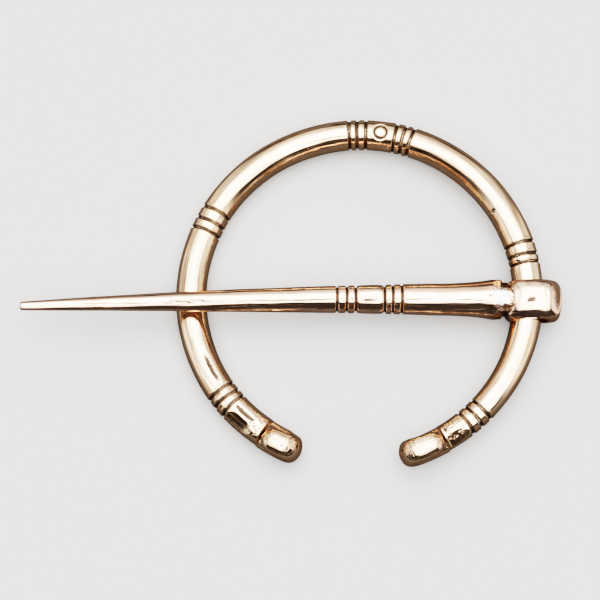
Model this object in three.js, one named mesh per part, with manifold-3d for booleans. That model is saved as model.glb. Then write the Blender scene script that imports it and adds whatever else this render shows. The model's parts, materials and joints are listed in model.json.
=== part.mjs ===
// A penannular fibula brooch in polished bronze.
//
// It is made of two pieces. The hoop is a round bar bent to an open ring, with bands of
// grooves and with both ends folded back over themselves. The pin is a tapered shank with
// a strap at its thick end, which is wrapped round the hoop and soldered shut, so the pin
// swings on the hoop and cannot come off it.
//
// Millimetres, +Z up. The brooch lies face up on a flat surface: the pin's loop passes
// under the hoop, so the hoop leans on the loop at one side and touches the surface at the
// other. The origin is on that surface, under the middle of the brooch's box. +X runs
// along the pin from its point to its head, and +Y points away from the gap in the hoop.

import * as THREE from 'three';
import { mergeVertices } from 'three/addons/utils/BufferGeometryUtils.js';
import Module from 'manifold-3d';

const wasm = await Module();
wasm.setup();

const { clamp, degToRad, lerp, smoothstep } = THREE.MathUtils;

// ---- Driving dimensions: the hoop ----
// Angles are seen from above, in degrees anticlockwise from +X.

const hoopRadius = 19.2;
const barRadius = 1.74;
const barRadiusAtRightEnd = 1.56;
const thinningStartsAt = -8;
const thinningEndsAt = -50;

const grooveBands = [
  [221.8, 218.5, 215.4],
  [156.6, 152.8, 148.7],
  [93.1, 90.3, 87.5],
  [77.3, 74.4, 71.8],
  [17.4, 13.3, 10.3],
  [-44.5, -48.0, -51.3],
];
const grooveWidth = 0.42;
const grooveDepth = 0.22;

const ringMarkAngle = 82.4;
const ringMarkRadius = 0.7;
const ringMarkDepth = 0.12;

// The folded ends: the bar is thinned past a small step, turned up and laid back over
// itself, and the lobe that this makes ends just short of the step.
const leftEnd = { outwards: 1, tip: 250.2, step: 236.1, lobe: 236.9, lobeShift: 0.55 };
const rightEnd = { outwards: -1, tip: -76.8, step: -61.0, lobe: -61.7, lobeShift: 0.35 };
const foldRadius = 1.2;
const legHalfThickness = 1.14;
const lobeHalfThickness = 1.1;
const lobeHalfWidth = 1.42;
const legWidthShare = 1.03;
const lobeTipLength = 0.9;
const stepLength = 0.25;

// ---- Driving dimensions: the pin ----

const headAngle = -3.1;
const headInnerReach = 2.66;
const headOuterReach = 3.8;
const headTopHeight = 3.15;
const headWidth = 4.5;
const headInnerCorner = 1.1;
const headTopCorner = 1.5;
const headBottomCorner = 2.4;
const headEdgeRounding = 1.0;
const strapThickness = 1.1;
const strapEndWidthShare = 0.72;
const loopClearance = 0.38;

const seamToHinge = 2.95;
const neckRadius = 1.3;
const neckReachIntoHead = 0.6;
const solderBlobRadii = [1.05, 1.05, 0.8];

const shankLength = 54.7;
const shankEndRadius = 2.27;
const shankWaistRadius = 1.8;
const shankEndRounding = 0.5;
const flareLength = 8;
const bandGrooves = [11.47, 12.5, 13.41, 16.72, 17.69, 18.78];
const bandGrooveWidth = 0.34;
const bandGrooveDepth = 0.2;
const bandStartRadius = 1.7;
const bandEndRadius = 1.54;
const taperMidRadius = 1.08;
const pointRadius = 0.49;
const pointChamfer = 0.12;
const shankAxisAboveHinge = 0.75;
const shankAxisAside = 0.23;
const shankRestGap = 0.3;
const shankBow = 1.1;
const bowStartsAt = 4.3;

// ---- Driving dimensions: fineness of the facets ----

const barSides = 16;
const stationSpacing = 1.55;
const foldSteps = 8;
const tipSteps = 3;
const cornerSteps = 5;

// ---- Solids ----

// A closed three.js geometry as a solid that can be joined and cut.
function toSolid(geometry) {
  const bare = geometry.clone();
  bare.deleteAttribute('normal');
  bare.deleteAttribute('uv');
  const merged = mergeVertices(bare, 1e-4);
  const corners = merged.index.array;
  const triVerts = [];
  for (let i = 0; i < corners.length; i += 3) {
    const [a, b, c] = corners.slice(i, i + 3);
    if (a !== b && b !== c && c !== a) triVerts.push(a, b, c);
  }
  const vertProperties = new Float32Array(merged.attributes.position.array);
  const mesh = new wasm.Mesh({ numProp: 3, vertProperties, triVerts: new Uint32Array(triVerts) });
  return new wasm.Manifold(mesh);
}

function toGeometry(solid) {
  const mesh = solid.getMesh();
  const geometry = new THREE.BufferGeometry();
  geometry.setAttribute('position', new THREE.BufferAttribute(mesh.vertProperties, 3));
  geometry.setIndex(new THREE.BufferAttribute(mesh.triVerts, 1));
  geometry.computeVertexNormals();
  return geometry;
}

// Moves every vertex of a geometry to where `place` says.
function reshape(geometry, place) {
  const position = geometry.attributes.position;
  const vertex = new THREE.Vector3();
  for (let i = 0; i < position.count; i += 1) {
    vertex.fromBufferAttribute(position, i);
    const moved = place(vertex);
    position.setXYZ(i, moved.x, moved.y, moved.z);
  }
  return geometry;
}

// ---- The hoop ----

function barRadiusAt(angle) {
  const full = smoothstep(angle, thinningEndsAt, thinningStartsAt);
  return lerp(barRadiusAtRightEnd, barRadius, full);
}

// Degrees of the hoop that a length along its centreline takes up.
function degreesOf(length) {
  return (length / hoopRadius) * (180 / Math.PI);
}

// The angle where an end's bar starts to turn up into its fold.
function foldStart(end) {
  return end.tip - end.outwards * degreesOf(foldRadius + legHalfThickness);
}

// Distance along the bar, from the left-hand fold to an angle on the hoop.
function distanceTo(angle) {
  return degToRad(foldStart(leftEnd) - angle) * hoopRadius;
}

const hoopLength = distanceTo(foldStart(rightEnd));

// How far the bar runs on past the start of an end's fold, up to the lobe's tip.
function lengthPastFold(end) {
  const lobeLength = Math.abs(degToRad(foldStart(end) - end.lobe)) * hoopRadius;
  return Math.PI * foldRadius + lobeLength;
}

// The bar's section on the plain hoop.
function hoopSection(angle) {
  const radius = barRadiusAt(angle);
  return { angle, outwards: 1, turn: 0, height: 0, shift: 0, halfWidth: radius, halfThickness: radius };
}

// The bar's section on an end past its step, at a distance `beyond` the fold's start.
function endSection(end, beyond) {
  const turn = clamp(beyond / foldRadius, 0, Math.PI);
  const turned = turn / Math.PI;
  const backwards = Math.max(beyond - Math.PI * foldRadius, 0);
  const onwards = Math.min(beyond, 0) + foldRadius * Math.sin(turn) - backwards;
  const radius = barRadiusAt(end.step);
  return {
    angle: foldStart(end) + end.outwards * degreesOf(onwards),
    outwards: end.outwards,
    turn,
    height: legHalfThickness - radius + foldRadius * (1 - Math.cos(turn)),
    shift: end.lobeShift * turned,
    halfWidth: lerp(radius * legWidthShare, lobeHalfWidth, turned),
    halfThickness: lerp(legHalfThickness, lobeHalfThickness, turned),
  };
}

function sectionAt(along) {
  const leftStepMiddle = distanceTo(leftEnd.step) + stepLength / 2;
  const rightStepMiddle = distanceTo(rightEnd.step) - stepLength / 2;
  if (along < leftStepMiddle) return endSection(leftEnd, -along);
  if (along > rightStepMiddle) return endSection(rightEnd, along - hoopLength);
  return hoopSection(foldStart(leftEnd) - degreesOf(along));
}

// Bends the straight bar, which lies along y with a radius of 1, into the hoop.
function bendIntoHoop({ x, y, z }) {
  const section = sectionAt(y);
  const upwards = z * section.halfThickness;
  const lean = degreesOf(upwards * Math.sin(section.turn));
  const angle = degToRad(section.angle - section.outwards * lean);
  const radius = hoopRadius + section.shift - x * section.halfWidth;
  return new THREE.Vector3(
    radius * Math.cos(angle),
    radius * Math.sin(angle),
    section.height + upwards * Math.cos(section.turn),
  );
}

// Stations at an even spacing from one distance up to just short of another.
function plainStations(from, to, spacing) {
  const count = Math.max(Math.round((to - from) / spacing), 1);
  return Array.from({ length: count }, (_, i) => new THREE.Vector2(1, from + ((to - from) * i) / count));
}

// A groove as four stations: two at its edges and two on its floor.
function grooveStations(middle, width, radius, depth) {
  return [-0.5, -0.22, 0.22, 0.5].map((share) => {
    const isEdge = Math.abs(share) === 0.5;
    return new THREE.Vector2(isEdge ? radius : radius - depth, middle + share * width);
  });
}

// The rounded tip of a lobe, as stations from the tip inwards.
function tipStations(tip, direction) {
  return Array.from({ length: tipSteps + 1 }, (_, i) => {
    const turn = (i / tipSteps) * (Math.PI / 2);
    const inwards = lobeTipLength * (1 - Math.cos(turn));
    return new THREE.Vector2(Math.sin(turn), tip + direction * inwards);
  });
}

// The straight bar's profile, from the left-hand lobe's tip to the right-hand one's.
function barProfile() {
  const leftTip = -lengthPastFold(leftEnd);
  const rightTip = hoopLength + lengthPastFold(rightEnd);
  const leftStep = distanceTo(leftEnd.step);
  const rightStep = distanceTo(rightEnd.step);
  const foldLength = Math.PI * foldRadius;
  const foldSpacing = foldLength / foldSteps;

  const profile = tipStations(leftTip, 1);
  profile.push(...plainStations(leftTip + lobeTipLength, -foldLength, foldSpacing).slice(1));
  profile.push(...plainStations(-foldLength, 0, foldSpacing));
  profile.push(...plainStations(0, leftStep, stationSpacing));
  profile.push(new THREE.Vector2(1, leftStep));

  let reached = leftStep + stepLength;
  for (const grooveAngle of grooveBands.flat()) {
    const middle = distanceTo(grooveAngle);
    const depth = grooveDepth / barRadiusAt(grooveAngle);
    profile.push(...plainStations(reached, middle - grooveWidth / 2, stationSpacing));
    profile.push(...grooveStations(middle, grooveWidth, 1, depth).slice(0, -1));
    reached = middle + grooveWidth / 2;
  }
  profile.push(...plainStations(reached, rightStep - stepLength, stationSpacing));
  profile.push(new THREE.Vector2(1, rightStep - stepLength));

  profile.push(...plainStations(rightStep, hoopLength, stationSpacing));
  profile.push(...plainStations(hoopLength, hoopLength + foldLength, foldSpacing));
  profile.push(...plainStations(hoopLength + foldLength, rightTip - lobeTipLength, foldSpacing));
  profile.push(...tipStations(rightTip, -1).reverse());
  return profile;
}

// The ring punched into the top of the bar, as a thin ring that follows its round back.
function ringMark() {
  const along = distanceTo(ringMarkAngle);
  const wire = new THREE.TorusGeometry(ringMarkRadius, ringMarkDepth, 6, 20);
  return reshape(wire, ({ x, y, z }) => {
    const share = x / barRadius;
    const back = Math.sqrt(1 - share * share);
    return bendIntoHoop({ x: share, y: along + y, z: back + z / barRadius });
  });
}

function makeHoop() {
  const bar = new THREE.LatheGeometry(barProfile(), barSides);
  const hoop = toSolid(reshape(bar, bendIntoHoop)).subtract(toSolid(ringMark()));
  const bronze = new THREE.MeshStandardMaterial({ color: 0xd9a765, roughness: 0.16, metalness: 1 });
  const mesh = new THREE.Mesh(toGeometry(hoop), bronze);
  mesh.name = 'hoop';
  return mesh;
}

// ---- The pin ----
// Its frame has its origin on the bar's centreline, in the middle of the loop.

const loopRadius = barRadius + loopClearance;
const headBottomDepth = loopRadius + strapThickness;

// The head's outline from the side, with z upwards: a block with rounded corners.
function headOutline() {
  const low = -headBottomDepth;
  const high = headTopHeight;
  const inner = headInnerCorner;
  const top = headTopCorner;
  const bottom = headBottomCorner;
  const shape = new THREE.Shape();
  shape.moveTo(-headInnerReach + inner, low);
  shape.absarc(headOuterReach - bottom, low + bottom, bottom, -Math.PI / 2, 0);
  shape.absarc(headOuterReach - top, high - top, top, 0, Math.PI / 2);
  shape.absarc(-headInnerReach + inner, high - inner, inner, Math.PI / 2, Math.PI);
  shape.absarc(-headInnerReach + inner, low + inner, inner, Math.PI, 1.5 * Math.PI);
  return shape;
}

// The loop's hole from the side: round where it meets the bar, and longer outwards.
function loopOutline() {
  const slack = headOuterReach - strapThickness - loopRadius;
  const shape = new THREE.Shape();
  shape.absarc(0, 0, loopRadius, Math.PI / 2, 1.5 * Math.PI);
  shape.absarc(slack, 0, loopRadius, -Math.PI / 2, Math.PI / 2);
  return shape;
}

// Extrudes a side outline to a width across the pin, centred on it.
function acrossPin(outline, width, edgeRounding, steps) {
  const geometry = new THREE.ExtrudeGeometry(outline, {
    depth: width - 2 * edgeRounding,
    curveSegments: steps,
    bevelEnabled: edgeRounding > 0,
    bevelThickness: edgeRounding,
    bevelSize: edgeRounding,
    bevelOffset: -edgeRounding,
    bevelSegments: 3,
  });
  geometry.translate(0, 0, edgeRounding - width / 2);
  geometry.rotateX(Math.PI / 2);
  return geometry;
}

// The shank's profile, from inside the head to the point, by distance from the seam.
function shankProfile() {
  const profile = [
    new THREE.Vector2(0, -neckReachIntoHead),
    new THREE.Vector2(neckRadius, -neckReachIntoHead),
    new THREE.Vector2(neckRadius, 0),
  ];

  const rounding = new THREE.EllipseCurve(
    shankEndRadius - shankEndRounding, shankEndRounding,
    shankEndRounding, shankEndRounding, -Math.PI / 2, 0,
  );
  profile.push(...rounding.getPoints(3));

  const flare = new THREE.QuadraticBezierCurve(
    new THREE.Vector2(shankEndRadius, 1.2),
    new THREE.Vector2(shankWaistRadius, 0.45 * flareLength),
    new THREE.Vector2(shankWaistRadius, flareLength),
  );
  profile.push(...flare.getPoints(6));

  const first = bandGrooves[0];
  const last = bandGrooves[bandGrooves.length - 1];
  for (const middle of bandGrooves) {
    const radius = lerp(bandStartRadius, bandEndRadius, (middle - first) / (last - first));
    profile.push(...grooveStations(middle, bandGrooveWidth, radius, bandGrooveDepth));
  }

  const taperStart = last + bandGrooveWidth;
  const swell = taperMidRadius - (bandEndRadius + pointRadius) / 2;
  const taper = new THREE.QuadraticBezierCurve(
    new THREE.Vector2(bandEndRadius, taperStart),
    new THREE.Vector2(taperMidRadius + swell, (taperStart + shankLength) / 2),
    new THREE.Vector2(pointRadius, shankLength - pointChamfer),
  );
  profile.push(...taper.getPoints(12));
  profile.push(new THREE.Vector2(pointRadius - pointChamfer, shankLength));
  profile.push(new THREE.Vector2(0, shankLength));
  return profile;
}

// Lays the shank along -x from the seam, with its gentle sideways bow and its rise.
function makeShank(rise) {
  const shank = new THREE.LatheGeometry(shankProfile(), barSides);
  reshape(shank, ({ x, y, z }) => {
    const bowed = Math.max(y - bowStartsAt, 0) / (shankLength - bowStartsAt);
    return new THREE.Vector3(-y, x - shankBow * bowed * bowed, z);
  });
  shank.rotateY(rise);
  shank.translate(-seamToHinge, shankAxisAside, shankAxisAboveHinge);
  return shank;
}

// The drop of solder that bridges the seam on top.
function makeSolder() {
  const drop = new THREE.SphereGeometry(1, 12, 8);
  drop.scale(...solderBlobRadii);
  drop.translate(-seamToHinge, shankAxisAside, shankAxisAboveHinge + shankEndRadius - solderBlobRadii[2]);
  return drop;
}

// The head, which narrows below the hinge to the end of the strap under the bar.
function makeHead() {
  const head = acrossPin(headOutline(), headWidth, headEdgeRounding, cornerSteps);
  return reshape(head, ({ x, y, z }) => {
    const share = lerp(1, strapEndWidthShare, clamp(-z / headBottomDepth, 0, 1));
    return new THREE.Vector3(x, y * share, z);
  });
}

function makePin(rise) {
  const hole = acrossPin(loopOutline(), 2 * headWidth, 0, 2 * cornerSteps);
  hole.rotateZ(degToRad(headAngle));
  const pin = toSolid(makeHead())
    .add(toSolid(makeShank(rise)))
    .add(toSolid(makeSolder()))
    .subtract(toSolid(hole));
  const bronze = new THREE.MeshStandardMaterial({ color: 0xd89a72, roughness: 0.14, metalness: 1 });
  const mesh = new THREE.Mesh(toGeometry(pin), bronze);
  mesh.name = 'pin';
  return mesh;
}

// ---- The brooch at rest ----

// The hoop leans so that its far side touches the surface while the head is under it.
const hingeHeight = headBottomDepth;
const hingeX = hoopRadius * Math.cos(degToRad(headAngle));
const hoopLean = Math.asin((hingeHeight - barRadius) / (hoopRadius + hingeX));
const hoopCentreHeight = barRadius + hoopRadius * Math.sin(hoopLean);

// The shank rises from the seam, and the middle of its taper lies over the far side.
const restHeight = 2 * barRadius + taperMidRadius + shankRestGap;
const seamHeight = hingeHeight + shankAxisAboveHinge;
const shankRise = Math.atan((restHeight - seamHeight) / (hingeX + hoopRadius - seamToHinge));

const leaningHoop = new THREE.Group();
leaningHoop.rotation.y = -hoopLean;
leaningHoop.position.z = hoopCentreHeight;
leaningHoop.add(makeHoop());

const pin = makePin(shankRise);
pin.position.set(
  hingeX * Math.cos(hoopLean),
  hoopRadius * Math.sin(degToRad(headAngle)),
  hingeHeight,
);

const brooch = new THREE.Group();
brooch.add(leaningHoop, pin);

// Stands the origin on the surface, under the middle of the brooch's box.
brooch.updateMatrixWorld(true);
const box = new THREE.Box3().setFromObject(brooch, true);
const middle = box.getCenter(new THREE.Vector3());
brooch.position.set(-middle.x, -middle.y, -box.min.z);

export default brooch;
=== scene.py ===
# A penannular fibula brooch in polished bronze: an open hoop with folded ends, and a pin
# whose strap is wrapped round the hoop.

import json
import math

import bpy
import numpy as np
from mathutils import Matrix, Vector
from mathutils.kdtree import KDTree


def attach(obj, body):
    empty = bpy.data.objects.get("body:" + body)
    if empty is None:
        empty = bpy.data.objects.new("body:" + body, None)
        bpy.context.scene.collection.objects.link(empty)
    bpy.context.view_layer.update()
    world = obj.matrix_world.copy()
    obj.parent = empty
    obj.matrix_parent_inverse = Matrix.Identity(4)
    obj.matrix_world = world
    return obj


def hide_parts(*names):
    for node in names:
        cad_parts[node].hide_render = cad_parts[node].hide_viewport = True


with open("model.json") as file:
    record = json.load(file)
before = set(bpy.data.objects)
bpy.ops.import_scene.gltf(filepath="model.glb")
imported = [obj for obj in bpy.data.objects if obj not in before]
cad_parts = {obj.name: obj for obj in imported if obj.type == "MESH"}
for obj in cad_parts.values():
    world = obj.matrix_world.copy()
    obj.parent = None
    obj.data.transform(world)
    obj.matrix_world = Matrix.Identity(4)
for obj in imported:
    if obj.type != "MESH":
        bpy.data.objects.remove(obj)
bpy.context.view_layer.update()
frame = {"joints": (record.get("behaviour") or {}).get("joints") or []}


# ---- The hoop ----
# One cast bronze bar bent to an open ring, filed smooth and polished. Bands of three
# grooves are cut across it and darkened, a ring is punched into its far side, and both
# ends are drawn down, folded up and laid back over themselves.

MM = 0.001
hoop_radius = 19.2
bar_radius = 1.74
bar_radius_at_right_end = 1.56
thinning_starts_at = -8
thinning_ends_at = -50

fold_radius = 1.2
leg_half_thickness = 1.14
leg_width_share = 1.03
lobe_half_thickness = 1.1
lobe_half_width = 1.46
lobe_tip_length = 1.5
step_length = 0.25
left_end = {"outwards": 1, "tip": 250.2, "step": 236.1, "lobe": 236.5, "shift": 0.55}
right_end = {"outwards": -1, "tip": -76.8, "step": -61.0, "lobe": -61.35, "shift": 0.35}

groove_bands = [
    [221.8, 218.5, 215.4],
    [156.6, 152.8, 148.7],
    [93.1, 90.3, 87.5],
    [77.3, 74.4, 71.8],
    [17.4, 13.3, 10.3],
    [-44.5, -48.0, -51.3],
]
groove_half_width = 0.22
groove_depth = 0.2
bead_pitch = 0.25
bead_height = 0.07

ring_mark_angle = 82.4
ring_mark_radius = 0.71
ring_mark_half_width = 0.14
ring_mark_depth = 0.17

# Marks of use: where on the ring, how far round the bar, half length, half width, depth, and how
# dark they have gone. A negative depth stands proud. On the two long hollows, at 207.6 and 227.2,
# the darkness is a painted dark reflection over real dents.
hoop_marks = [
    (31.4, 0.66, 0.10, 0.22, 0.08, 0.9),
    (207.6, 0.16, 1.90, 0.34, 0.10, 0.76),
    (227.2, 0.06, 1.60, 0.34, 0.10, 0.80),
    (-59.8, 0.55, 0.14, 0.40, -0.12, 0.0),
    (-58.9, 0.35, 0.20, 0.24, 0.10, 1.0),
    (251.2, 2.90, 0.10, 0.70, 0.06, 0.7),
    (253.0, -2.90, 0.09, 0.50, 0.04, 0.6),
    (-77.6, 2.90, 0.10, 0.60, 0.06, 0.7),
    (-79.4, -2.80, 0.09, 0.60, 0.05, 0.6),
]
# Pitted stretches next to the folds: from, to, and how many pits.
pitted_ends = [(230.5, 235.8, 46), (-60.6, -54.0, 30)]

# Taken to be left by filing, and inferred from how the bar reflects: the outer side is
# fuller than round, and the inner side leaner at the back.
outer_fullness = 0.09
inner_leanness = 0.07
filed_side = 0.95
filed_spread = 0.38
back_of_hoop = 84
# Flats on the outer side, next to the folds: where, side angle, half length and depth.
filed_flats = [(227.6, -0.66, 1.55, 0.17), (-57.3, -0.64, 1.25, 0.2)]

# How finely the mesh is divided: round the bar, along it, and over each kind of detail.
hoop_sides = 104
plain_spacing = 0.6
fold_spacing = 0.11
tip_spacing = 0.04
groove_spacing = 0.055
ring_mark_spacing = 0.06
mark_spacing = 0.07

hinge = np.array(frame["joints"][0]["pos_m"]) / MM
hinge_axis = np.array(frame["joints"][0]["axis"])
head_angle = -math.asin(math.hypot(hinge_axis[0], hinge_axis[2]))
hoop_lean = math.atan2(hinge_axis[2], hinge_axis[0])
hoop_centre = hinge - hoop_radius * np.array([
    math.cos(head_angle) * math.cos(hoop_lean),
    math.sin(head_angle),
    math.cos(head_angle) * math.sin(hoop_lean),
])


def smooth(value, low, high):
    """0 up to low, 1 from high, with a soft start and end."""
    share = np.clip((np.asarray(value, float) - low) / (high - low), 0, 1)
    return share * share * (3 - 2 * share)


def mix(a, b, share):
    return a + (b - a) * share


def bump_at(distance, half_width):
    """A smooth hump, 1 at distance 0."""
    return np.exp(-((distance / half_width) ** 2))


def ripple(seed, *fields):
    """A slow, uneven wave of about -1 to 1 over one or more fields of places."""
    rng = np.random.default_rng(seed)
    total = 0
    for _ in range(5):
        pace = rng.uniform(0.35, 1.6, len(fields))
        start = rng.uniform(0, 2 * math.pi)
        total = total + np.sin(sum(f * p for f, p in zip(fields, pace)) + start)
    return total / 2.5


def stations(start, end, zones, coarse):
    """Places along a bar, spaced as the zone (from, to, spacing) that they are in says."""
    places = [start]
    while places[-1] < end:
        here = places[-1]
        spacing = min([s for low, high, s in zones if low - s <= here < high], default=coarse)
        ahead = [low - here for low, _, s in zones if low - s > here]
        places.append(here + max(min([spacing] + ahead), 0.5 * spacing))
    places[-1] = end
    return np.array(places)


def groove_cut(distance, half_width):
    """How deep a groove is at a distance from its middle, from 0 to 1."""
    return 1 - smooth(np.abs(distance), 0.35 * half_width, 1.2 * half_width)


def beads(around, pitch, seed):
    """The row of tiny beads that a graver leaves in a groove's floor, from 0 to 1."""
    wander = 0.35 * ripple(seed, around * 2.0)
    row = 0.5 + 0.5 * np.cos(2 * math.pi * around / pitch + 3 * wander)
    return row * smooth(ripple(seed + 1, around * 1.7), -0.6, 0.4)


def with_marks(lift, patina_and_shade, marks, along, around, radius):
    """Adds marks of use to a bar's surface, each at a place along it and an angle round it."""
    for at, side_angle, half_length, half_width, depth, stain in marks:
        off_along = (along - at) / half_length
        off_side = np.angle(np.exp(1j * (around - side_angle))) * radius / half_width
        mark = np.exp(-(off_along**4) - off_side**2)
        lift = lift - depth * mark
        patina_and_shade = np.maximum(patina_and_shade, stain * mark)
    return lift, patina_and_shade


def read_field(layer, size, count):
    values = np.zeros(count * size, np.float32)
    layer.data.foreach_get("value" if size == 1 else "vector", values)
    return values.reshape(count, size)


def write_field(mesh, label, values):
    """Stores one number or one vector on each point of a mesh."""
    size = values.shape[1]
    layer = mesh.attributes.new(label, "FLOAT" if size == 1 else "FLOAT_VECTOR", "POINT")
    numbers = values.astype(np.float32).ravel()
    layer.data.foreach_set("value" if size == 1 else "vector", numbers)


def mesh_object(name, points, faces, attributes):
    """A smooth mesh from points in millimetres, with its attributes."""
    mesh = bpy.data.meshes.new(name)
    mesh.from_pydata((points * MM).tolist(), [], faces)
    mesh.polygons.foreach_set("use_smooth", [True] * len(faces))
    for label, values in attributes.items():
        write_field(mesh, label, values.reshape(len(points), -1))
    thing = bpy.data.objects.new(name, mesh)
    bpy.context.scene.collection.objects.link(thing)
    return thing


def make_mesh(name, rows, attributes):
    """A closed mesh from rows of points round a bar, with its ends closed by a point."""
    count, sides, _ = rows.shape

    def with_ends(values):
        flat = values.reshape(count * sides, -1)
        return np.vstack([flat[:sides].mean(0), flat, flat[-sides:].mean(0)])

    at = 1 + np.arange(count * sides).reshape(count, sides)
    quads = np.stack([at[:-1], np.roll(at[:-1], -1, 1), np.roll(at[1:], -1, 1), at[1:]], -1)
    faces = quads.reshape(-1, 4).tolist()
    faces += [[0, b, a] for a, b in zip(at[0], np.roll(at[0], -1))]
    last = count * sides + 1
    faces += [[last, a, b] for a, b in zip(at[-1], np.roll(at[-1], -1))]
    ended = {label: with_ends(values) for label, values in attributes.items()}
    return mesh_object(name, with_ends(rows), faces, ended)


def degrees_of(length):
    return np.degrees(length / hoop_radius)


def hoop_bar_radius(angle):
    full = smooth(angle, thinning_ends_at, thinning_starts_at)
    return mix(bar_radius_at_right_end, bar_radius, full)


def fold_start(end):
    return end["tip"] - end["outwards"] * degrees_of(fold_radius + leg_half_thickness)


def hoop_distance(angle):
    """Distance along the bar from the left-hand fold to an angle."""
    return np.radians(fold_start(left_end) - angle) * hoop_radius


hoop_length = hoop_distance(fold_start(right_end))


def past_fold(end):
    lobe_length = abs(math.radians(fold_start(end) - end["lobe"])) * hoop_radius
    return math.pi * fold_radius + lobe_length


def end_section(end, beyond):
    """The bar's section on a folded end: angle, side, turn, height, shift and half sizes."""
    turn = np.clip(beyond / fold_radius, 0, math.pi)
    turned = turn / math.pi
    backwards = np.maximum(beyond - math.pi * fold_radius, 0)
    onwards = np.minimum(beyond, 0) + fold_radius * np.sin(turn) - backwards
    radius = hoop_bar_radius(end["step"])
    return np.stack([
        fold_start(end) + end["outwards"] * degrees_of(onwards),
        end["outwards"] + 0 * beyond,
        turn,
        leg_half_thickness - radius + fold_radius * (1 - np.cos(turn)),
        end["shift"] * turned,
        mix(radius * leg_width_share, lobe_half_width, turned),
        mix(leg_half_thickness, lobe_half_thickness, turned),
    ])


def hoop_section(along):
    angle = fold_start(left_end) - degrees_of(along)
    radius = hoop_bar_radius(angle)
    nothing = 0 * along
    plain = np.stack([angle, nothing + 1, nothing, nothing, nothing, radius, radius])
    left = end_section(left_end, -along)
    right = end_section(right_end, along - hoop_length)
    left_step = hoop_distance(left_end["step"])
    right_step = hoop_distance(right_end["step"])
    on_left = 1 - smooth(along, left_step, left_step + step_length)
    on_right = smooth(along, right_step - step_length, right_step)
    section = mix(plain, left, on_left)
    section = mix(section, right, on_right)
    section[1] = np.where(along > hoop_length / 2, right[1], 1)
    return section


def bend_into_hoop(along, inwards, upwards):
    """Where a point of the straight bar ends up. Inwards and upwards are in millimetres."""
    angle, outwards, turn, height, shift, _, _ = hoop_section(along)
    lean = degrees_of(upwards * np.sin(turn))
    turned_to = np.radians(angle - outwards * lean)
    radius = hoop_radius + shift - inwards
    x = radius * np.cos(turned_to)
    y = radius * np.sin(turned_to)
    z = height + upwards * np.cos(turn)
    c, s = math.cos(hoop_lean), math.sin(hoop_lean)
    return np.stack([x * c - z * s, y, x * s + z * c], -1) + hoop_centre


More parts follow.
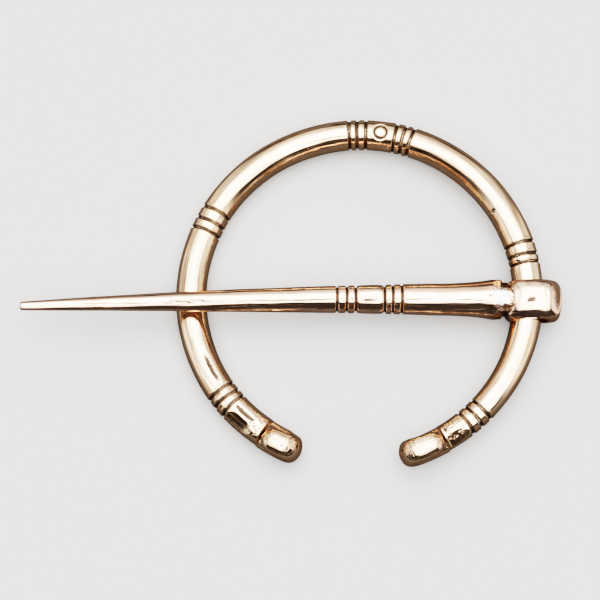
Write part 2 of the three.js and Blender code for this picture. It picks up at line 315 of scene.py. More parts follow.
def make_hoop():
    left_tip = -past_fold(left_end)
    right_tip = hoop_length + past_fold(right_end)
    left_step = hoop_distance(left_end["step"])
    right_step = hoop_distance(right_end["step"])
    ring_mark_at = hoop_distance(ring_mark_angle)
    zones = [
        (left_tip, left_tip + 0.3, tip_spacing),
        (left_tip, left_step + 2.2, fold_spacing),
        (right_step - 2.2, right_tip, fold_spacing),
        (right_tip - 0.3, right_tip, tip_spacing),
        (ring_mark_at - 0.95, ring_mark_at + 0.95, ring_mark_spacing),
    ]
    for at, half_length in ((hoop_distance(m[0]), m[2]) for m in hoop_marks):
        zones.append((at - 1.4 * half_length, at + 1.4 * half_length, mark_spacing))
    for at in (hoop_distance(a) for band in groove_bands for a in band):
        zones.append((at - 0.45, at + 0.45, groove_spacing))
    along = stations(left_tip + 0.004, right_tip - 0.004, zones, plain_spacing)[:, None]
    steps = np.arange(hoop_sides) / hoop_sides
    side = (2 * math.pi * steps - 0.38 * np.sin(2 * math.pi * steps))[None, :]
    around = side + 0 * along
    along = along + 0 * side
    angle, _, turn, _, _, half_width, half_thickness = hoop_section(along)
    around_mid = np.mod(around + math.pi, 2 * math.pi) - math.pi
    arc = around_mid * bar_radius

    # The rounded tips of the lobes.
    from_tip = np.minimum(along - left_tip, right_tip - along)
    into_tip = np.clip(1 - from_tip / lobe_tip_length, 0, 1)
    rounding = np.sqrt(1 - into_tip**2)

    # Slow waves left by the file, and finer ones in some stretches.
    lift = 0.014 * ripple(3, along * 0.5, np.sin(around) * 1.5, np.cos(around) * 1.5)
    filed = 0.35 + 0.65 * smooth(ripple(8, along * 0.35), -0.3, 0.7)
    lift = lift + 0.016 * filed * ripple(5, along * 0.15, np.sin(around) * 5, np.cos(around) * 5)
    lift = lift + 0.006 * filed * ripple(6, along * 0.2, np.sin(around) * 14, np.cos(around) * 14)
    from_back = np.abs(angle - back_of_hoop)
    fuller = outer_fullness * smooth(from_back, 18, 45)
    leaner = inner_leanness * (1 - smooth(from_back, 30, 60))
    lift = lift + fuller * bump_at(around_mid + filed_side, filed_spread)
    lift = lift - leaner * bump_at(around_mid - filed_side, filed_spread)
    for flat_angle, side_angle, half_length, depth in filed_flats:
        on_flat = np.exp(-(((along - hoop_distance(flat_angle)) / half_length) ** 4))
        flat_height = half_width + mix(0.15, -depth, on_flat)
        across = np.maximum(np.cos(around - side_angle), 0.5)
        lift = np.minimum(lift, flat_height / across - half_width)

    patina_and_shade = 0 * along
    pits = np.random.default_rng(17)
    marks = [(hoop_distance(angle_at), *rest) for angle_at, *rest in hoop_marks]
    for low, high, count in pitted_ends:
        for _ in range(count):
            at = hoop_distance(pits.uniform(low, high))
            size = pits.uniform(0.06, 0.13)
            side_angle = pits.uniform(-0.7, 0.7)
            stain = pits.uniform(0.2, 0.9)
            marks.append((at, side_angle, size, size, 0.45 * size, stain))
    lift, patina_and_shade = with_marks(lift, patina_and_shade, marks, along, around, bar_radius)
    for number, groove_angle in enumerate(a for band in groove_bands for a in band):
        skew = 0.07 * ripple(40 + number, np.sin(around), np.cos(around))
        distance = along - hoop_distance(groove_angle) - skew
        cut = groove_cut(distance, groove_half_width)
        row = beads(arc, bead_pitch, 70 + number) * bump_at(distance, 0.5 * groove_half_width)
        lift = lift - groove_depth * cut + bead_height * row
        lift = lift + 0.02 * bump_at(np.abs(distance) - 0.32, 0.1)
        patina_and_shade = np.maximum(patina_and_shade, cut * (1 - 0.8 * row))
    # The ring punch was struck a little off the middle, and raised a faint rim.
    off_ring = np.hypot(along - ring_mark_at, 0.88 * (arc + 0.04)) - ring_mark_radius
    ring_cut = bump_at(off_ring, ring_mark_half_width)
    lift = lift - ring_mark_depth * ring_cut + 0.012 * bump_at(off_ring - 0.24, 0.1)
    patina_and_shade = np.maximum(patina_and_shade, ring_cut)
    # Painted shade darkens the gap under each lobe.
    for beyond in (left_step - along, along - right_step):
        gap = smooth(beyond, -0.12, 0.1) * (1 - smooth(np.abs(around_mid), 0.45, 0.85))
        patina_and_shade = np.maximum(patina_and_shade, gap)

    inwards = np.sin(around) * (half_width * rounding + lift)
    upwards = np.cos(around) * (half_thickness * rounding + lift)
    rows = bend_into_hoop(along, inwards, upwards)
    place = np.stack([along, arc, 0 * arc], -1)
    return make_mesh("bronze_hoop", rows, {"patina_and_shade": patina_and_shade, "bar_place": place})


class Nodes:
    """Builds a material's nodes, with each value given as a number, colour or socket."""

    def __init__(self, tree):
        self.tree = tree

    def add(self, kind, output=0, settings=None, **inputs):
        node = self.tree.nodes.new(kind)
        for name, value in (settings or {}).items():
            setattr(node, name, value)
        for name, value in inputs.items():
            label = name.replace("_", " ")
            key = int(name[1:]) if name[1:].isdigit() else label
            self.put(node.inputs[key], value)
        return node.outputs[output]

    def put(self, socket, value):
        if isinstance(value, bpy.types.NodeSocket):
            self.tree.links.new(value, socket)
        else:
            socket.default_value = value

    def math(self, operation, a, b=0.0, c=0.0):
        return self.add("ShaderNodeMath", settings={"operation": operation}, i0=a, i1=b, i2=c)

    def ramp(self, value, low, high, low_to=0.0, high_to=1.0):
        return self.add(
            "ShaderNodeMapRange", settings={"interpolation_type": "SMOOTHSTEP"},
            i0=value, i1=low, i2=high, i3=low_to, i4=high_to,
        )

    def mix_colour(self, share, a, b):
        node = self.tree.nodes.new("ShaderNodeMix")
        node.data_type = "RGBA"
        self.put(node.inputs[0], share)
        self.put(node.inputs[6], a)
        self.put(node.inputs[7], b)
        return node.outputs[2]

    def noise(self, vector, scale, detail=3.0, roughness=0.55):
        return self.add(
            "ShaderNodeTexNoise", Vector=vector, Scale=scale, Detail=detail, Roughness=roughness,
        )


solder_colour = (0.74, 0.72, 0.70, 1)
finest_mark_height = 0.00005


def bronze(name, polished, warm, patina):
    """Polished bronze: darkened by patina in grooves and marks and by painted shade in gaps, with
    wipe marks along the bar.
    """
    material = bpy.data.materials.new(name)
    material.use_nodes = True
    tree = material.node_tree
    tree.nodes.clear()
    nodes = Nodes(tree)
    place = nodes.add("ShaderNodeAttribute", 1, {"attribute_name": "bar_place"})
    patina_and_shade = nodes.add("ShaderNodeAttribute", 2, {"attribute_name": "patina_and_shade"})
    here = nodes.add("ShaderNodeTexCoord", 3)
    along = nodes.add("ShaderNodeMapping", Vector=place, Scale=(0.35, 6.0, 1.0))
    streaks = nodes.noise(along, 1.0, 4.0, 0.6)
    clouds = nodes.noise(here, 260.0, 3.0)
    specks = nodes.noise(here, 3200.0, 2.0)
    rubbed = nodes.add("ShaderNodeMapping", Vector=place, Scale=(0.16, 2.7, 1.0))
    marks = nodes.noise(rubbed, 1.0, 2.0, 0.5)

    # The metal's colour, the silvery solder with its flux, and on top the dark of patina and of
    # painted shade.
    tone = nodes.mix_colour(nodes.ramp(clouds, 0.35, 0.7), polished, warm)
    tone = nodes.mix_colour(nodes.ramp(streaks, 0.45, 0.7, 0.0, 0.7), tone, warm)
    silver = nodes.add("ShaderNodeAttribute", 2, {"attribute_name": "solder"})
    ragged = nodes.math("MULTIPLY", nodes.math("SUBTRACT", specks, 0.5), 0.9)
    silver = nodes.math("ADD", silver, ragged)
    silver = nodes.math("MULTIPLY", nodes.ramp(silver, 0.3, 0.75), nodes.ramp(silver, 0.0, 0.2))
    tone = nodes.mix_colour(silver, tone, solder_colour)
    flux = nodes.math("MULTIPLY", silver, nodes.ramp(specks, 0.56, 0.66, 0.0, 0.55))
    # Patina in grooves and marks, and painted shade in the gaps, darken the metal here.
    grime_and_shade = nodes.math("MULTIPLY_ADD", specks, 0.5, nodes.math("SUBTRACT", patina_and_shade, 0.25))
    grime_and_shade = nodes.math("MAXIMUM", nodes.ramp(grime_and_shade, 0.2, 0.6), flux)
    colour = nodes.mix_colour(grime_and_shade, tone, patina)
    dulled = nodes.ramp(streaks, 0.45, 0.8, 0.0, 0.06)
    gloss = nodes.math("ADD", nodes.ramp(clouds, 0.3, 0.75, 0.05, 0.12), dulled)
    roughness = nodes.math("MULTIPLY_ADD", silver, 0.16, gloss)
    roughness = nodes.math("MULTIPLY_ADD", grime_and_shade, 0.35, roughness)

    # Wipe marks along the bar, in worn stretches, and a grain in the solder and in the darkened
    # places.
    broad = nodes.add("ShaderNodeMapping", Vector=place, Scale=(0.12, 0.3, 1.0))
    worked = nodes.ramp(nodes.noise(broad, 1.0, 2.0), 0.4, 0.62, 0.25, 1.0)
    height = nodes.math("MULTIPLY_ADD", marks, 1.6, nodes.math("MULTIPLY", streaks, 0.3))
    height = nodes.math("MULTIPLY", worked, height)
    height = nodes.math("MULTIPLY_ADD", nodes.math("MULTIPLY", specks, silver), 0.7, height)
    height = nodes.math("MULTIPLY_ADD", nodes.math("MULTIPLY", specks, grime_and_shade), 3.0, height)
    bump = nodes.add("ShaderNodeBump", Strength=0.5, Distance=finest_mark_height, Height=height)
    shader = nodes.add(
        "ShaderNodeBsdfPrincipled",
        Base_Color=colour, Metallic=1.0, Roughness=roughness, Normal=bump,
        Specular_Tint=(0.95, 0.72, 0.55, 1),
    )
    output = tree.nodes.new("ShaderNodeOutputMaterial")
    tree.links.new(shader, output.inputs[0])
    return material


hoop = make_hoop()
hoop.data.materials.append(bronze(
    "hoop_bronze", (0.95, 0.615, 0.39, 1), (0.88, 0.50, 0.28, 1), (0.035, 0.022, 0.014, 1),
))
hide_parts("hoop")
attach(hoop, "hoop")


# ---- The pin ----
# A tapered bronze shank with two bands of grooves. Its thick end is drawn out into a
# strap, which is wrapped round the hoop's bar and soldered shut on top of the seam.

seam_to_hinge = 2.95
# The neck fills most of the notch between shank and head, and is painted dark there as painted
# shade.
neck_radius = 1.95
neck_reach = 0.6
shank_length = 54.7
shank_end_radius = 2.27
shank_waist_radius = 1.8
shank_end_rounding = 0.35
flare_length = 8.0
pin_grooves = [11.47, 12.5, 13.41, 16.72, 17.69, 18.78]
pin_groove_half_width = 0.18
pin_groove_depth = 0.2
band_start_radius = 1.7
band_end_radius = 1.54
taper_mid_radius = 1.08
point_radius = 0.49
point_chamfer = 0.12
axis_above_hinge = 0.75
axis_aside = 0.23
rest_gap = 0.3

# Inferred in the same way: a long flat on one flank, which runs out along the taper, and a
# fuller side below it. The heights are shares of the radius, at distances from the seam.
shank_fullness = 0.07
taper_fullness = 0.09
shank_flat_side = 0.72
shank_flat_places = [18, 25, 29, 41]
shank_flat_heights = [0.977, 0.987, 1.0, 1.06]

# Marks of use, given as on the hoop, with the distance from the seam in millimetres.
pin_marks = [
    (15.1, -0.30, 0.95, 0.24, 0.03, 0.62),
    (1.5, -0.05, 0.12, 0.14, 0.06, 1.0),
    (33.6, -0.28, 0.7, 0.06, 0.03, 0.8),
    (34.6, -0.16, 0.9, 0.06, 0.03, 0.9),
    (35.3, -0.40, 0.6, 0.06, 0.03, 0.8),
    (36.2, -0.28, 0.8, 0.07, 0.03, 0.9),
    (37.2, -0.18, 0.6, 0.06, 0.03, 0.8),
    (37.8, -0.38, 0.7, 0.06, 0.03, 0.7),
    (42.0, -0.33, 2.0, 0.05, 0.02, 0.7),
    (46.0, -0.23, 1.8, 0.05, 0.02, 0.7),
    (27.5, 0.89, 0.12, 0.12, 0.03, 0.6),
]
facet_place = np.array([-3.65, 1.17, 2.80])
facet_facing = np.array([0.34, 0.62, 0.707])
shank_bow = 1.1
bow_starts_at = 4.3
shank_sides = 88

head_inner_reach = 2.66
head_outer_reach = 3.8
head_top = 3.15
head_width = 4.5
head_inner_corner = 1.2
head_top_corner = 1.6
head_bottom_corner = 2.4
strap_thickness = 1.1
strap_end_share = 0.72
strap_edge_share = 0.06
# The strap's top is highest along a line, falls to both sides, and drops at its near edge.
crown_line = 0.63
near_slope = 0.36
near_drop = 0.34
near_drop_starts_at = 1.8
far_drop = 0.17
head_dome = 0.7
end_fall = 0.12
loop_clearance = 0.38
loop_radius = bar_radius + loop_clearance
head_bottom = loop_radius + strap_thickness

far_side = math.cos(head_angle) * hoop_radius + hoop_radius - seam_to_hinge
rest_height = 2 * bar_radius + taper_mid_radius + rest_gap
shank_rise = math.atan((rest_height - head_bottom - axis_above_hinge) / far_side)


def bezier(a, b, c, count=60):
    t = np.linspace(0, 1, count)[:, None]
    a, b, c = (np.array(p, float) for p in (a, b, c))
    return (1 - t) ** 2 * a + 2 * t * (1 - t) * b + t**2 * c


def shank_profile():
    """Distances from the seam and the shank's radius there, without its grooves."""
    turn = np.linspace(0, math.pi / 2, 12)[:, None]
    inner = shank_end_radius - shank_end_rounding
    rounded_end = np.hstack([
        shank_end_rounding * (1 - np.cos(turn)),
        inner + shank_end_rounding * np.sin(turn),
    ])
    flare = bezier(
        (1.2, shank_end_radius),
        (0.45 * flare_length, shank_waist_radius),
        (flare_length, shank_waist_radius),
    )
    taper_start = pin_grooves[-1] + 2 * pin_groove_half_width
    swell = taper_mid_radius - (band_end_radius + point_radius) / 2
    taper = bezier(
        (taper_start, band_end_radius),
        ((taper_start + shank_length) / 2, taper_mid_radius + swell),
        (shank_length - point_chamfer, point_radius),
    )
    return np.vstack([
        [(-neck_reach, 0.02), (-neck_reach, neck_radius), (0, neck_radius), (0, inner)],
        rounded_end[1:],
        flare,
        [(pin_grooves[0], band_start_radius), (pin_grooves[-1], band_end_radius)],
        taper,
        [(shank_length, point_radius - point_chamfer), (shank_length, 0.02)],
    ])


def make_shank():
    profile = shank_profile()
    reach = np.concatenate([[0], np.cumsum(np.hypot(*np.diff(profile, axis=0).T))])

    def reach_to(distance):
        return np.interp(distance, profile[:, 0], reach)

    thick_end, scratched_from, scratched_to = reach_to(1.2), reach_to(32.5), reach_to(38.5)
    zones = [
        (0, thick_end, 0.07),
        (thick_end, reach_to(1.8), 0.08),
        (scratched_from, scratched_to, 0.16),
        (reach[-1] - 1.4, reach[-1], 0.06),
    ]
    zones += [(reach_to(g) - 0.4, reach_to(g) + 0.4, 0.05) for g in pin_grooves]
    over_profile = stations(0, reach[-1], zones, 0.4)[:, None]
    steps = np.arange(shank_sides) / shank_sides
    side = (2 * math.pi * steps - 0.3 * np.sin(2 * math.pi * steps))[None, :]
    distance = np.interp(over_profile, reach, profile[:, 0]) + 0 * side
    radius = np.interp(over_profile, reach, profile[:, 1]) + 0 * side
    around = side + 0 * over_profile
    around_mid = np.mod(around + math.pi, 2 * math.pi) - math.pi
    arc = around_mid * radius
    on_shank = smooth(distance, 0.3, 1.0) * smooth(shank_length - distance, 0.0, 0.6)
    lift = 0.01 * on_shank * ripple(11, distance * 0.6, np.sin(around) * 1.5, np.cos(around) * 1.5)
    on_taper = smooth(distance, 24, 36)
    lift = lift + shank_fullness * radius * on_shank * bump_at(around_mid + 1.35, 0.4)
    lift = lift + taper_fullness * radius * on_taper * bump_at(around_mid + 1.1, 0.4)
    flat_height = np.interp(distance, shank_flat_places, shank_flat_heights)
    across = np.maximum(np.cos(around_mid + shank_flat_side), 0.5)
    lift = mix(lift, np.minimum(lift, (flat_height / across - 1) * radius), on_shank)
    # The neck and the shank's end face are painted dark: painted shade in the notch beside the
    # head.
    patina_and_shade = 1 - smooth(distance, -0.05, 0.35)
    for number, middle in enumerate(pin_grooves):
        skew = 0.05 * ripple(140 + number, np.sin(around), np.cos(around))
        off = distance - middle - skew
        cut = groove_cut(off, pin_groove_half_width)
        row = beads(arc, bead_pitch, 170 + number) * bump_at(off, 0.5 * pin_groove_half_width)
        lift = lift - pin_groove_depth * cut + 0.04 * row
        patina_and_shade = np.maximum(patina_and_shade, cut * (1 - 0.4 * row))
    lift, patina_and_shade = with_marks(lift, patina_and_shade, pin_marks, distance, around, radius)
    # The panel between the two bands is cushion-shaped, with a flat worn on top.
    off_panel = np.abs(distance - 0.5 * (pin_grooves[2] + pin_grooves[3]))
    worn_flat = 0.08 * bump_at(around_mid + 0.2, 0.45)
    lift = lift - (off_panel < 1.7) * (0.1 * smooth(off_panel, 0.9, 1.7) + worn_flat)

    size = np.maximum(radius + lift, 0.01)
    bowed = np.maximum(distance - bow_starts_at, 0) / (shank_length - bow_starts_at)
    aside = np.sin(around) * size - shank_bow * bowed**2
    up = np.cos(around) * size
    c, r = math.cos(shank_rise), math.sin(shank_rise)
    rows = np.stack([
        -distance * c + up * r - seam_to_hinge,
        aside + axis_aside,
        distance * r + up * c + axis_above_hinge,
    ], -1)
    # One facet is filed across the corner of the thick end.
    proud = np.maximum((rows - facet_place) @ facet_facing, 0) * smooth(1.0 - patina_and_shade, 0.0, 0.3)
    rows = rows - proud[..., None] * facet_facing + hinge
    place = np.stack([distance, arc, 0 * arc], -1)
    return make_mesh("shank", rows, {"patina_and_shade": patina_and_shade, "bar_place": place})


def arc_points(centre_x, centre_z, radius, start):
    """A quarter circle, anticlockwise from an angle in degrees."""
    turn = np.radians(start) + np.linspace(0, math.pi / 2, 24)
    return np.stack([centre_x + radius * np.cos(turn), centre_z + radius * np.sin(turn)], -1)


def reach_at(corners, turn):
    """How far a closed outline round the origin reaches in each direction."""
    closed = np.vstack([corners, corners[:1]])
    sides = [np.linspace(a, b, 30, endpoint=False) for a, b in zip(closed[:-1], closed[1:])]
    outline = np.vstack(sides + [closed[:1]])
    turns = np.unwrap(np.arctan2(outline[:, 1], outline[:, 0]))
    return np.interp(np.mod(turn - turns[0], 2 * math.pi), turns - turns[0], np.hypot(*outline.T))


def make_ring(name, rows, attributes):
    """A ring-shaped mesh, closed both ways round."""
    count, sides, _ = rows.shape
    at = np.arange(count * sides).reshape(count, sides)
    ahead = np.roll(at, -1, 0)
    quads = np.stack([at, ahead, np.roll(ahead, -1, 1), np.roll(at, -1, 1)], -1)
    return mesh_object(name, rows.reshape(-1, 3), quads.reshape(-1, 4).tolist(), attributes)


def make_head():
    inner, top, bottom = head_inner_corner, head_top_corner, head_bottom_corner
    outside = np.vstack([
        arc_points(head_outer_reach - bottom, bottom - head_bottom, bottom, -90),
        arc_points(head_outer_reach - top, head_top - top, top, 0),
        arc_points(inner - head_inner_reach, head_top - inner, inner, 90),
        arc_points(inner - head_inner_reach, inner - head_bottom, inner, 180),
    ])
    slack = head_outer_reach - strap_thickness - loop_radius
    half_turn = np.linspace(-math.pi / 2, math.pi / 2, 60)
    round_end = loop_radius * np.stack([np.cos(half_turn), np.sin(half_turn)], -1)
    hole = np.vstack([round_end + [slack, 0], -round_end])

    turn = np.linspace(0, 2 * math.pi, 200, endpoint=False)[:, None]
    across = np.linspace(0, 2 * math.pi, 96, endpoint=False)[None, :]
    c, s = np.cos(across), np.sin(across)
    inside = np.where(s < 0, np.abs(s), 0)
    side = np.sign(c) * np.abs(c) ** 0.6
    south = crown_line - 0.5 * head_width * side
    slope = near_slope * (np.sqrt(south**2 + 0.5) - 0.707)
    slope = slope + near_drop * np.maximum(south - near_drop_starts_at, 0) ** 2
    tuck = 1 - 0.12 * smooth(-side, 0.2, 1.0)
    drop = np.where(south > 0, slope, far_drop * south**2) / (head_top - loop_radius * tuck)
    crown = 1 - mix(end_fall * side**2, drop, smooth(np.sin(turn), 0.45, 0.95))
    outer = strap_edge_share + (crown - strap_edge_share) * np.abs(s) ** 0.6
    share = np.where(s > 0, outer, strap_edge_share * (1 - np.abs(s) ** 0.3))
    reach = mix(tuck * reach_at(hole, turn), reach_at(outside, turn), share)
    x = reach * np.cos(turn)
    z = reach * np.sin(turn)
    y = 0.5 * head_width * side * mix(1, strap_end_share, np.clip(-z / head_bottom, 0, 1))
    z = z - head_dome * np.clip((x - 0.8) / 3, -1, 1) ** 2 * smooth(z, 1.5, 2.6) * share
    x = x + 0.3 * smooth(np.abs(y), 1.1, 2.2) * smooth(-x, 1.6, 2.6) * share
    x = x - math.tan(head_angle) * y * inside
    wobble = 1 + 0.004 * ripple(21, x, y, z) * share
    # Painted shade darkens the head beside the seam and inside the loop, and one dark scratch
    # crosses the end.
    patina_and_shade = smooth(-x, 2.2, 2.5) * smooth(np.abs(y), 0.9, 1.4) * (1 - smooth(z, 2.4, 2.9))
    patina_and_shade = np.maximum(patina_and_shade, smooth(inside, 0.5, 0.9))
    scratch = bump_at(x - 3.2 + 0.3 * (y + 0.5), 0.11) * bump_at(y + 0.5, 0.32)
    scratch = scratch * smooth(z, 0.6, 1.6)
    patina_and_shade = np.maximum(patina_and_shade, 0.9 * scratch)
    wobble = wobble - 0.01 * scratch
    place = np.stack([3 * turn + 0 * y, y, 5 + 0 * y], -1)
    rows = np.stack([x, y, z], -1) * wobble[..., None] + hinge
    return make_ring("head", rows, {"patina_and_shade": patina_and_shade, "bar_place": place})


def boxy(values, power):
    return np.sign(values) * np.abs(values) ** power


def make_solder(name, centre, radii, lean, dark, seed):
    """A drop of solder, lumpy where it froze. It leans down towards the hoop."""
    rise = np.linspace(0.03, math.pi - 0.03, 64)[:, None]
    around = np.linspace(2 * math.pi, 0, 110, endpoint=False)[None, :]
    level = boxy(np.sin(rise), 0.6)
    ball = np.stack([
        level * boxy(np.cos(around), 0.8),
        level * boxy(np.sin(around), 0.8),
        boxy(np.cos(rise), 0.6) + 0 * around,
    ])
    lumps = 1 + 0.03 * ripple(seed, *(3 * ball)) + 0.02 * ripple(seed + 1, *(13 * ball))
    x, y, z = ball * lumps * np.array(radii)[:, None, None]
    turned = [x * math.cos(lean) + z * math.sin(lean), y, z * math.cos(lean) - x * math.sin(lean)]
    rows = np.stack(turned, -1) + np.array(centre) + hinge
    return make_mesh(name, rows, {"patina_and_shade": dark + 0 * lumps, "bar_place": rows})


def fuse(name, parts):
    """One closed mesh from parts that overlap, with the values stored on their points."""
    labels = {"patina_and_shade": 1, "bar_place": 3}
    points = []
    stored = {label: [] for label in labels}
    for part in parts:
        mesh = part.data
        count = len(mesh.vertices)
        points.append(read_field(mesh.attributes["position"], 3, count))
        for label, size in labels.items():
            stored[label].append(read_field(mesh.attributes[label], size, count))
    points = np.vstack(points)
    tree = KDTree(len(points))
    for number, point in enumerate(points):
        tree.insert(point, number)
    tree.balance()

    body = parts[0]
    for part in parts[1:]:
        union = body.modifiers.new("union", "BOOLEAN")
        union.operation = "UNION"
        union.solver = "MANIFOLD"
        union.object = part
    evaluated = body.evaluated_get(bpy.context.evaluated_depsgraph_get())
    mesh = bpy.data.meshes.new_from_object(evaluated)
    mesh.materials.clear()
    for part in parts:
        bpy.data.objects.remove(part)
    nearest = [tree.find(vertex.co)[1] for vertex in mesh.vertices]
    for label, size in labels.items():
        if mesh.attributes.get(label):
            mesh.attributes.remove(mesh.attributes[label])
        write_field(mesh, label, np.vstack(stored[label])[nearest])
    mesh.polygons.foreach_set("use_smooth", [True] * len(mesh.polygons))
    thing = bpy.data.objects.new(name, mesh)
    bpy.context.scene.collection.objects.link(thing)
    return thing


# Each drop's centre from the hinge, half sizes, lean, and how dark it has gone.
solder_drops = {
    "solder_top": ((-2.62, 0.05, 2.18), (1.25, 1.12, 0.76), 0.12, 0.0),
    "bead_a": ((-3.55, -1.05, 2.55), (0.34, 0.26, 0.22), 0.0, 0.7),
    "bead_b": ((-3.05, -1.35, 2.1), (0.42, 0.30, 0.34), 0.0, 0.9),
    "bead_c": ((-2.45, -1.25, 1.9), (0.38, 0.30, 0.34), 0.0, 0.95),
}
drops = [make_solder(name, *sizes, 31 + i) for i, (name, sizes) in enumerate(solder_drops.items())]
pin = fuse("bronze_pin", [make_shank(), make_head()] + drops)

# A thin film of solder also ran out over the shank and the strap, on top.
film_over_shank = 1.7
film_over_strap = 0.95
film_half_width = 1.7
pin_points = read_field(pin.data.attributes["position"], 3, len(pin.data.vertices)) / MM - hinge
off_seam = pin_points[:, 0] + seam_to_hinge
reach_out = np.where(off_seam < 0, film_over_shank, film_over_strap)
spread = np.hypot(off_seam / reach_out, (pin_points[:, 1] - 0.2) / film_half_width)
film = (1 - smooth(spread, 0.35, 1.0)) * smooth(pin_points[:, 2], 0.6, 1.8)
write_field(pin.data, "solder", film[:, None])
pin.data.materials.append(bronze(
    "pin_bronze", (0.95, 0.59, 0.41, 1), (0.90, 0.50, 0.32, 1), (0.035, 0.020, 0.014, 1),
))
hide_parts("pin")
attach(pin, "pin")


# ---- The floor and the light ----
# A plain pale table, in a pale cloth tent with a bright roof and a dark opening on the near side.
# The dark card under the brooch shows in the metal's reflections alone; it is darkest round the
# brooch, as a painted shadow.

floor_half = 3.0
floor_below = 0.05
card_below = 0.03
floor_mesh = bpy.data.meshes.new("floor")
corners = [(-1, -1), (1, -1), (1, 1), (-1, 1)]
floor_corners = [(across * floor_half, along * floor_half, 0) for across, along in corners]
floor_mesh.from_pydata(floor_corners, [], [(0, 1, 2, 3)])
floor = bpy.data.objects.new("floor", floor_mesh)
bpy.context.scene.collection.objects.link(floor)
floor.location.z = -floor_below * MM
paper = bpy.data.materials.new("floor_paper")
paper.use_nodes = True
paper_shader = paper.node_tree.nodes["Principled BSDF"]
paper_shader.inputs["Base Color"].default_value = (0.34, 0.335, 0.33, 1)
paper_shader.inputs["Roughness"].default_value = 0.9
floor_mesh.materials.append(paper)
floor.visible_glossy = False

# Darker round the brooch: a painted shadow on the card, seen in the metal's reflections.
card_in_painted_shadow = (0.0035, 0.0031, 0.0033, 1)
card_less_dark = (0.009, 0.008, 0.0085, 1)
card = bpy.data.objects.new("dark_card", floor_mesh.copy())
card_paper = paper.copy()
card_nodes = Nodes(card_paper.node_tree)
under_brooch = tuple((hoop_centre * [1, 1, 0] + [0, -8, 0]) * MM)
from_brooch = card_nodes.add(
    "ShaderNodeVectorMath", 1, {"operation": "DISTANCE"},
    i0=card_nodes.add("ShaderNodeTexCoord", 3), i1=under_brooch,
)
outwards = card_nodes.ramp(from_brooch, 0.020, 0.030)
shade = card_nodes.mix_colour(outwards, card_in_painted_shadow, card_less_dark)
card_nodes.put(card_paper.node_tree.nodes["Principled BSDF"].inputs["Base Color"], shade)
card.data.materials[0] = card_paper
bpy.context.scene.collection.objects.link(card)
card.location.z = -card_below * MM
card.visible_camera = False
card.visible_diffuse = False
card.visible_shadow = False

world = bpy.data.worlds.new("studio")
bpy.context.scene.world = world
world.use_nodes = True
world.node_tree.nodes.clear()
studio = Nodes(world.node_tree)
direction = studio.add("ShaderNodeTexCoord", 0)
split = world.node_tree.nodes.new("ShaderNodeSeparateXYZ")
world.node_tree.links.new(direction, split.inputs[0])
east, north, up = split.outputs
squares = [studio.math("MULTIPLY", part, part) for part in (east, north)]
level = studio.math("SQRT", studio.math("ADD", *squares))
south = studio.math("DIVIDE", studio.math("MULTIPLY", north, -1.0), level)

# The walls: uneven cloth, brighter upwards and to the sides, and dim low at the far end.
wall_light = 2.1
upright = studio.add("ShaderNodeMapping", Vector=direction, Scale=(1.0, 1.0, 0.15))
panels = studio.ramp(studio.noise(upright, 3.2, 1.0), 0.36, 0.6, 0.45, 1.0)
end_walls = studio.ramp(up, -0.02, 0.62, 0.12, wall_light)
side_walls = studio.ramp(up, -0.06, 0.42, 0.45, wall_light)
to_side = studio.math("DIVIDE", studio.math("ABSOLUTE", east), level)
to_side = studio.ramp(to_side, 0.45, 0.8)
brighter = studio.math("SUBTRACT", side_walls, end_walls)
walls = studio.math("MULTIPLY_ADD", to_side, brighter, end_walls)
walls = studio.math("MULTIPLY", walls, panels)
low_down = studio.ramp(up, 0.5, 0.05, 0.0, 0.85)
far_end = studio.math("MULTIPLY", studio.ramp(south, -0.55, -0.9), low_down)
walls = studio.math("MULTIPLY", walls, studio.math("SUBTRACT", 1.0, far_end))

# The roof, and the dark opening on the near side, with a thin paler strip low down.
roof_light = 11.0
opening_darkness = 0.97
strip_paleness = 0.35
roof = studio.ramp(up, 0.62, 1.0, 0.0, roof_light)
opening = studio.math("MULTIPLY", studio.ramp(south, 0.30, 0.5), studio.ramp(up, 0.80, 0.64))
strip = studio.math("MULTIPLY", studio.ramp(up, 0.16, 0.20), studio.ramp(up, 0.28, 0.24))
paler = studio.math("MULTIPLY", strip, strip_paleness)
covered = studio.math("MULTIPLY", opening, studio.math("SUBTRACT", opening_darkness, paler))
lit = studio.math("ADD", walls, roof)
lit = studio.math("MULTIPLY", lit, studio.math("SUBTRACT", 1.0, covered))

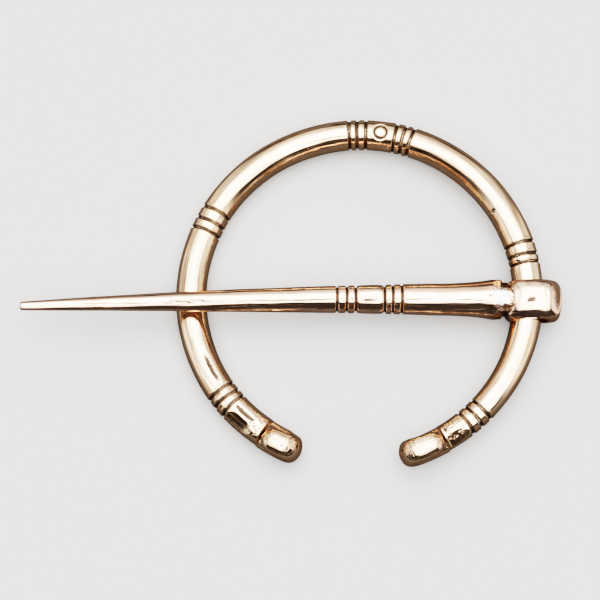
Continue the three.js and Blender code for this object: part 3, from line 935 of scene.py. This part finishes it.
# The tent's seams: how far to the side, half width, and how much light each one keeps.
seams = [(0.36, 0.035, 0.5), (0.66, 0.05, 0.4), (-0.45, 0.04, 0.45), (-0.74, 0.05, 0.4)]
for middle, half_width, kept in seams:
    off_seam_line = studio.math("ABSOLUTE", studio.math("SUBTRACT", east, middle))
    seam = studio.ramp(off_seam_line, half_width, 2 * half_width, kept, 1.0)
    lit = studio.math("MULTIPLY", lit, seam)
light = studio.add("ShaderNodeBackground", Color=(1.0, 0.99, 0.97, 1), Strength=lit)
backdrop = studio.add("ShaderNodeBackground", Color=(0.62, 0.61, 0.60, 1), Strength=1.0)
seen = world.node_tree.nodes.new("ShaderNodeLightPath").outputs["Is Camera Ray"]
blend = studio.add("ShaderNodeMixShader", Fac=seen, i1=light, i2=backdrop)
world_out = world.node_tree.nodes.new("ShaderNodeOutputWorld")
world.node_tree.links.new(blend, world_out.inputs[0])


# ---- The camera ----
# It looks steeply down on the brooch from its open side. The dark oval round its lens shows
# in the metal's reflections alone.

camera_elevation = math.radians(75.5)
camera_distance = 400.0
lens_length = 210.24
aim = hoop_centre + np.array([-6.769, -0.472, 0.0])
towards = np.array([0, -math.cos(camera_elevation), math.sin(camera_elevation)])
lens_data = bpy.data.cameras.new("camera")
lens_data.sensor_width = 36.0
lens_data.lens = lens_length
camera = bpy.data.objects.new("camera", lens_data)
camera.location = Vector((aim + camera_distance * towards) * MM)
camera.rotation_mode = "QUATERNION"
camera.rotation_quaternion = Vector(-towards).to_track_quat("-Z", "Y")
lens_data.clip_start = 0.01
lens_data.clip_end = 20
bpy.context.scene.collection.objects.link(camera)
bpy.context.scene.camera = camera

lens_half_width = 60
lens_half_height = 42
lens_sides = 48
lens_disc = bpy.data.meshes.new("lens_ring")
sight = camera.rotation_quaternion
rim = []
for turn in np.linspace(0, 2 * math.pi, lens_sides, endpoint=False):
    off_middle = (lens_half_width * math.cos(turn), lens_half_height * math.sin(turn), 0)
    rim.append(camera.location + sight @ Vector(off_middle) * MM)
lens_disc.from_pydata(rim, [], [list(range(lens_sides))])
lens_ring = bpy.data.objects.new("lens_ring", lens_disc)
bpy.context.scene.collection.objects.link(lens_ring)
black = bpy.data.materials.new("lens_black")
black.use_nodes = True
black_shader = black.node_tree.nodes["Principled BSDF"]
black_shader.inputs["Base Color"].default_value = (0.05, 0.045, 0.05, 1)
lens_disc.materials.append(black)
lens_ring.visible_camera = False
lens_ring.visible_diffuse = False
lens_ring.visible_shadow = False

tones = bpy.context.scene.view_settings
tones.view_transform = "Filmic"
tones.look = "Medium High Contrast"
tones.exposure = 0.3
